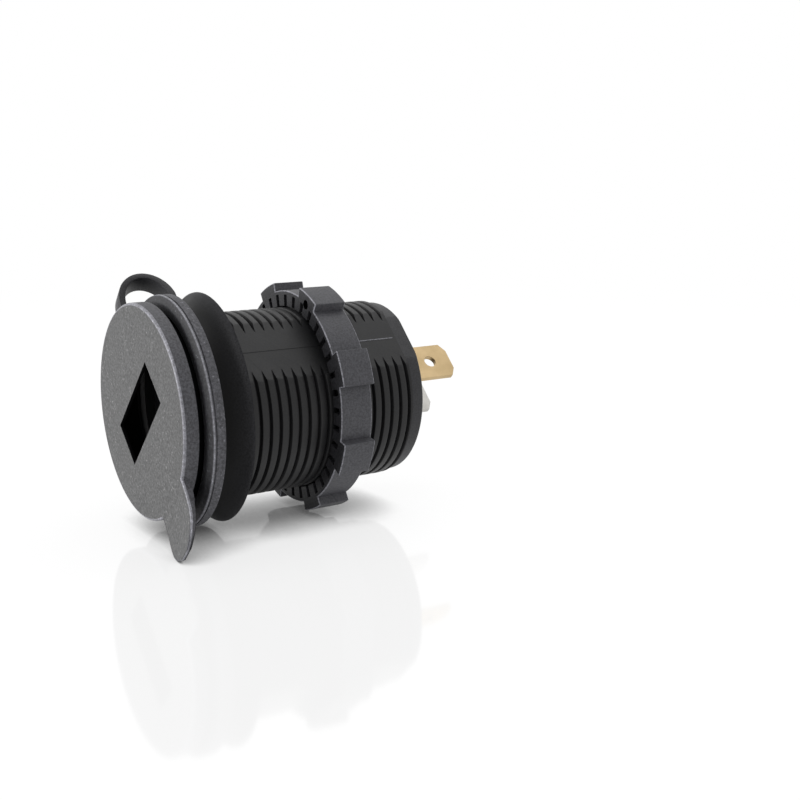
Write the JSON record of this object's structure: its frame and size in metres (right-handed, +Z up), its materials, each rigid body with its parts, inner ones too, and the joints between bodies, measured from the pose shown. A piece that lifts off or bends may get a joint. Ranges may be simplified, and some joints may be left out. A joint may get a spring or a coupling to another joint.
{
  "type": "usb socket with voltmeter",
  "caption": "Round weatherproof panel socket: threaded barrel with front flange, soft windowed cap on a strap, bell-shaped sealing ring, castellated ring nut, blade terminals.",
  "frame": {"origin": "on the barrel axis in the panel plane, where the sealing ring's rear face meets the panel", "axes": "+Y along the barrel to the rear, the front faces -Y; +Z up, with the strap at the top and the pull tab at the bottom; +X to the right seen from the front"},
  "size_m": [0.0344, 0.0531, 0.0473],
  "materials": {
    "barrel_plastic": "satin",
    "soft_black": "matte",
    "plate_plastic": "gloss",
    "smoked_lens": "gloss",
    "pale_plastic": "satin",
    "red_bars": "gloss",
    "board_green": "satin",
    "dark_plastic": "matte",
    "shell_steel": "satin",
    "contact_gold": "gloss",
    "ferrite": "matte",
    "copper_wire": "gloss",
    "can_aluminium": "satin",
    "blade_brass": "satin",
    "blade_tinned": "satin"
  },
  "bodies": {
    "socket": {"housing": "barrel_plastic", "rear_cover": "barrel_plastic", "sealing_ring": "soft_black", "face_plate": "plate_plastic", "display_lens": "smoked_lens", "display_block": "pale_plastic", "usb_insulator": "pale_plastic", "digit_segments": "red_bars", "display_board": "board_green", "main_board": "board_green", "header_strip": "dark_plastic", "converter_chip": "dark_plastic", "rectifier_diode": "dark_plastic", "usb_shell": "shell_steel", "usb_contact_1": "contact_gold", "usb_contact_2": "contact_gold", "usb_contact_3": "contact_gold", "usb_contact_4": "contact_gold", "choke_core": "ferrite", "choke_winding": "copper_wire", "input_capacitor": "can_aluminium", "output_capacitor": "can_aluminium", "positive_blade": "blade_brass", "negative_blade": "blade_tinned"},
    "lid": {"cap_lid": "soft_black"},
    "nut": {"ring_nut": "barrel_plastic"}
  },
  "joints": [
    {"name": "cap_hinge", "type": "hinge", "parent": "socket", "child": "lid", "pos_m": [0, -0.00485, 0.0235], "axis": [-1, 0, 0], "range_deg": [0, 140]},
    {"name": "nut_travel", "type": "slide", "parent": "socket", "child": "nut", "axis": [0, 1, 0], "range_m": [-0.0136, 0.0088]}
  ]
}
